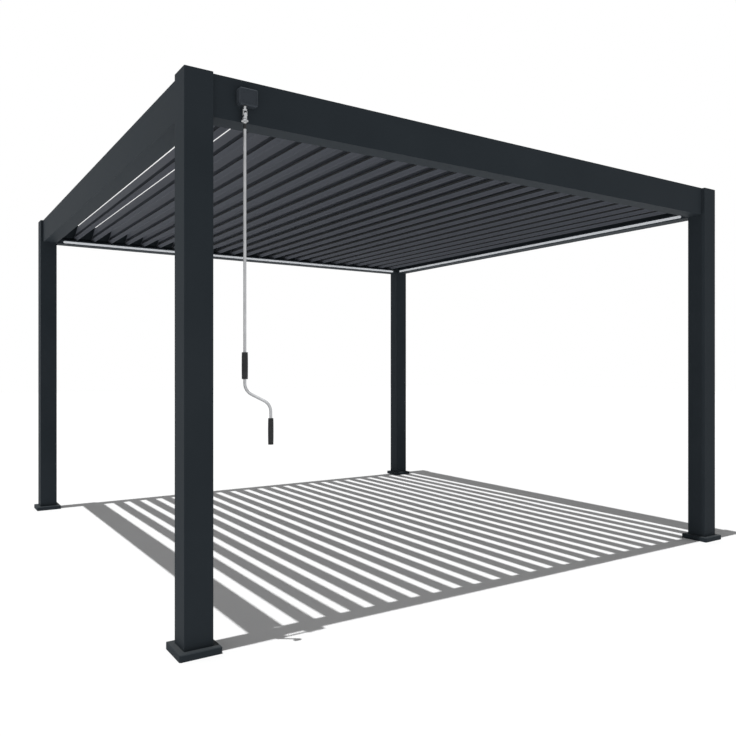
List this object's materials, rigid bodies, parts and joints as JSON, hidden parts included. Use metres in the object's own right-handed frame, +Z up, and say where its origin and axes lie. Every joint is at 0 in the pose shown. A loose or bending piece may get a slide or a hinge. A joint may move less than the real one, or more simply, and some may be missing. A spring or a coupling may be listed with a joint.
{
  "type": "louvered pergola",
  "caption": "Free-standing aluminium pergola with square posts, channel beams and a roof of turning louvers linked by a bar and worked by a hanging crank.",
  "frame": {"origin": "the middle of the posts' plan, on the floor", "axes": "+X along the crank beam, to the right seen from the crank's side; +Y along the louvers, away from the crank beam; +Z up"},
  "size_m": [3.655, 3.6977, 2.3237],
  "materials": {
    "powder_coat": "fine-textured anthracite powder coat, satin",
    "louver_coat": "anthracite powder coat, satin",
    "zinc_steel": "zinc plated, matt",
    "crank_steel": "anodised, silk matt",
    "black_plastic": "moulded, matt",
    "light_opal": "opal diffuser, silk matt"
  },
  "bodies": {
    "frame": {"post_front_left": "powder_coat", "post_front_right": "powder_coat", "post_rear_left": "powder_coat", "post_rear_right": "powder_coat", "post_caps": "powder_coat", "base_plates": "zinc_steel", "foot_covers": "powder_coat", "beam_front": "powder_coat", "beam_rear": "powder_coat", "beam_left": "powder_coat", "beam_right": "powder_coat", "corner_brackets": "zinc_steel", "light_strips": "light_opal", "pivot_rails": "powder_coat", "side_flashings": "powder_coat", "gearbox": "powder_coat"},
    "louver_01": {"louver_01": "louver_coat"},
    "louver_02": {"louver_02": "louver_coat"},
    "louver_03": {"louver_03": "louver_coat"},
    "louver_04": {"louver_04": "louver_coat"},
    "louver_05": {"louver_05": "louver_coat"},
    "louver_06": {"louver_06": "louver_coat"},
    "louver_07": {"louver_07": "louver_coat"},
    "louver_08": {"louver_08": "louver_coat"},
    "louver_09": {"louver_09": "louver_coat"},
    "louver_10": {"louver_10": "louver_coat"},
    "louver_11": {"louver_11": "louver_coat"},
    "louver_12": {"louver_12": "louver_coat"},
    "louver_13": {"louver_13": "louver_coat"},
    "louver_14": {"louver_14": "louver_coat"},
    "louver_15": {"louver_15": "louver_coat"},
    "louver_16": {"louver_16": "louver_coat"},
    "louver_17": {"louver_17": "louver_coat"},
    "louver_18": {"louver_18": "louver_coat"},
    "louver_19": {"louver_19": "louver_coat"},
    "louver_20": {"louver_20": "louver_coat"},
    "louver_21": {"louver_21": "louver_coat"},
    "louver_22": {"louver_22": "louver_coat"},
    "louver_23": {"louver_23": "louver_coat"},
    "louver_24": {"louver_24": "louver_coat"},
    "link_bar": {"link_bar": "zinc_steel"},
    "crank_shaft": {"crank_shaft": "zinc_steel"},
    "crank_handle": {"crank_socket": "zinc_steel", "crank_rod": "crank_steel", "crank_grips": "black_plastic"}
  },
  "joints": [
    {"name": "crank_spin", "type": "hinge", "parent": "frame", "child": "crank_shaft", "pos_m": [-1.5475, -1.801, 2.19], "axis": [0, 0, 1], "range_deg": [-7200, 1080]},
    {"name": "crank_swing", "type": "hinge", "parent": "crank_shaft", "child": "crank_handle", "pos_m": [-1.5475, -1.801, 2.169], "axis": [-1, 0, 0], "range_deg": [0, 40]},
    {"name": "louver_01_turn", "type": "hinge", "parent": "frame", "child": "louver_01", "pos_m": [-1.521, 0, 2.218], "axis": [0, 1, 0], "range_deg": [-100, 15]},
    {"name": "louver_02_turn", "type": "hinge", "parent": "frame", "child": "louver_02", "pos_m": [-1.385, 0, 2.218], "axis": [0, 1, 0], "range_deg": [-100, 15]},
    {"name": "louver_03_turn", "type": "hinge", "parent": "frame", "child": "louver_03", "pos_m": [-1.249, 0, 2.218], "axis": [0, 1, 0], "range_deg": [-100, 15]},
    {"name": "louver_04_turn", "type": "hinge", "parent": "frame", "child": "louver_04", "pos_m": [-1.113, 0, 2.218], "axis": [0, 1, 0], "range_deg": [-100, 15]},
    {"name": "louver_05_turn", "type": "hinge", "parent": "frame", "child": "louver_05", "pos_m": [-0.977, 0, 2.218], "axis": [0, 1, 0], "range_deg": [-100, 15]},
    {"name": "louver_06_turn", "type": "hinge", "parent": "frame", "child": "louver_06", "pos_m": [-0.841, 0, 2.218], "axis": [0, 1, 0], "range_deg": [-100, 15]},
    {"name": "louver_07_turn", "type": "hinge", "parent": "frame", "child": "louver_07", "pos_m": [-0.705, 0, 2.218], "axis": [0, 1, 0], "range_deg": [-100, 15]},
    {"name": "louver_08_turn", "type": "hinge", "parent": "frame", "child": "louver_08", "pos_m": [-0.569, 0, 2.218], "axis": [0, 1, 0], "range_deg": [-100, 15]},
    {"name": "louver_09_turn", "type": "hinge", "parent": "frame", "child": "louver_09", "pos_m": [-0.433, 0, 2.218], "axis": [0, 1, 0], "range_deg": [-100, 15]},
    {"name": "louver_10_turn", "type": "hinge", "parent": "frame", "child": "louver_10", "pos_m": [-0.297, 0, 2.218], "axis": [0, 1, 0], "range_deg": [-100, 15]},
    {"name": "louver_11_turn", "type": "hinge", "parent": "frame", "child": "louver_11", "pos_m": [-0.161, 0, 2.218], "axis": [0, 1, 0], "range_deg": [-100, 15]},
    {"name": "louver_12_turn", "type": "hinge", "parent": "frame", "child": "louver_12", "pos_m": [-0.025, 0, 2.218], "axis": [0, 1, 0], "range_deg": [-100, 15]},
    {"name": "louver_13_turn", "type": "hinge", "parent": "frame", "child": "louver_13", "pos_m": [0.111, 0, 2.218], "axis": [0, 1, 0], "range_deg": [-100, 15]},
    {"name": "louver_14_turn", "type": "hinge", "parent": "frame", "child": "louver_14", "pos_m": [0.247, 0, 2.218], "axis": [0, 1, 0], "range_deg": [-100, 15]},
    {"name": "louver_15_turn", "type": "hinge", "parent": "frame", "child": "louver_15", "pos_m": [0.383, 0, 2.218], "axis": [0, 1, 0], "range_deg": [-100, 15]},
    {"name": "louver_16_turn", "type": "hinge", "parent": "frame", "child": "louver_16", "pos_m": [0.519, 0, 2.218], "axis": [0, 1, 0], "range_deg": [-100, 15]},
    {"name": "louver_17_turn", "type": "hinge", "parent": "frame", "child": "louver_17", "pos_m": [0.655, 0, 2.218], "axis": [0, 1, 0], "range_deg": [-100, 15]},
    {"name": "louver_18_turn", "type": "hinge", "parent": "frame", "child": "louver_18", "pos_m": [0.791, 0, 2.218], "axis": [0, 1, 0], "range_deg": [-100, 15]},
    {"name": "louver_19_turn", "type": "hinge", "parent": "frame", "child": "louver_19", "pos_m": [0.927, 0, 2.218], "axis": [0, 1, 0], "range_deg": [-100, 15]},
    {"name": "louver_20_turn", "type": "hinge", "parent": "frame", "child": "louver_20", "pos_m": [1.063, 0, 2.218], "axis": [0, 1, 0], "range_deg": [-100, 15]},
    {"name": "louver_21_turn", "type": "hinge", "parent": "frame", "child": "louver_21", "pos_m": [1.199, 0, 2.218], "axis": [0, 1, 0], "range_deg": [-100, 15]},
    {"name": "louver_22_turn", "type": "hinge", "parent": "frame", "child": "louver_22", "pos_m": [1.335, 0, 2.218], "axis": [0, 1, 0], "range_deg": [-100, 15]},
    {"name": "louver_23_turn", "type": "hinge", "parent": "frame", "child": "louver_23", "pos_m": [1.471, 0, 2.218], "axis": [0, 1, 0], "range_deg": [-100, 15]},
    {"name": "louver_24_turn", "type": "hinge", "parent": "frame", "child": "louver_24", "pos_m": [1.607, 0, 2.218], "axis": [0, 1, 0], "range_deg": [-100, 15]},
    {"name": "link_bar_pivot", "type": "hinge", "parent": "louver_01", "child": "link_bar", "pos_m": [-1.49786, -1.7635, 2.24558], "axis": [0, 1, 0], "range_deg": [-15, 100]}
  ],
  "couplings": [
    {"joint": "louver_01_turn", "follows": "crank_spin", "ratio": 0.013885},
    {"joint": "louver_02_turn", "follows": "crank_spin", "ratio": 0.013885},
    {"joint": "louver_03_turn", "follows": "crank_spin", "ratio": 0.013885},
    {"joint": "louver_04_turn", "follows": "crank_spin", "ratio": 0.013885},
    {"joint": "louver_05_turn", "follows": "crank_spin", "ratio": 0.013885},
    {"joint": "louver_06_turn", "follows": "crank_spin", "ratio": 0.013885},
    {"joint": "louver_07_turn", "follows": "crank_spin", "ratio": 0.013885},
    {"joint": "louver_08_turn", "follows": "crank_spin", "ratio": 0.013885},
    {"joint": "louver_09_turn", "follows": "crank_spin", "ratio": 0.013885},
    {"joint": "louver_10_turn", "follows": "crank_spin", "ratio": 0.013885},
    {"joint": "louver_11_turn", "follows": "crank_spin", "ratio": 0.013885},
    {"joint": "louver_12_turn", "follows": "crank_spin", "ratio": 0.013885},
    {"joint": "louver_13_turn", "follows": "crank_spin", "ratio": 0.013885},
    {"joint": "louver_14_turn", "follows": "crank_spin", "ratio": 0.013885},
    {"joint": "louver_15_turn", "follows": "crank_spin", "ratio": 0.013885},
    {"joint": "louver_16_turn", "follows": "crank_spin", "ratio": 0.013885},
    {"joint": "louver_17_turn", "follows": "crank_spin", "ratio": 0.013885},
    {"joint": "louver_18_turn", "follows": "crank_spin", "ratio": 0.013885},
    {"joint": "louver_19_turn", "follows": "crank_spin", "ratio": 0.013885},
    {"joint": "louver_20_turn", "follows": "crank_spin", "ratio": 0.013885},
    {"joint": "louver_21_turn", "follows": "crank_spin", "ratio": 0.013885},
    {"joint": "louver_22_turn", "follows": "crank_spin", "ratio": 0.013885},
    {"joint": "louver_23_turn", "follows": "crank_spin", "ratio": 0.013885},
    {"joint": "louver_24_turn", "follows": "crank_spin", "ratio": 0.013885},
    {"joint": "link_bar_pivot", "follows": "crank_spin", "ratio": -0.013885}
  ]
}
